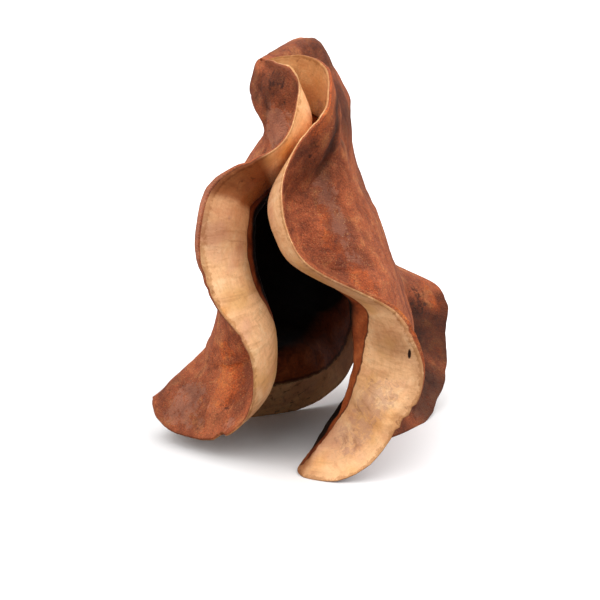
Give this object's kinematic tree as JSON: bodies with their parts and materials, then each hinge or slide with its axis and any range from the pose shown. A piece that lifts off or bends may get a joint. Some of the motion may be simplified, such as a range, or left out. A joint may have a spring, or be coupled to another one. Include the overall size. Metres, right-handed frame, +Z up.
{
  "type": "dried jacaranda pod",
  "caption": "Dried woody jacaranda seed capsule, gaping open: two wavy disc-shaped valves joined at the stem end, standing on the lobes of their rims.",
  "frame": {"origin": "on the table under the middle of the pod's box", "axes": "+Z up from the resting lobes to the joined stem end; the gaping front faces -Y and the right valve is on +X"},
  "size_m": [0.0422, 0.0518, 0.0543],
  "materials": {
    "husk": "dry woody husk, red-brown and grained outside, pale tan inside the wavy rims, nearly black in the hollow"
  },
  "bodies": {
    "root": {"pod": "husk"}
  },
  "joints": []
}
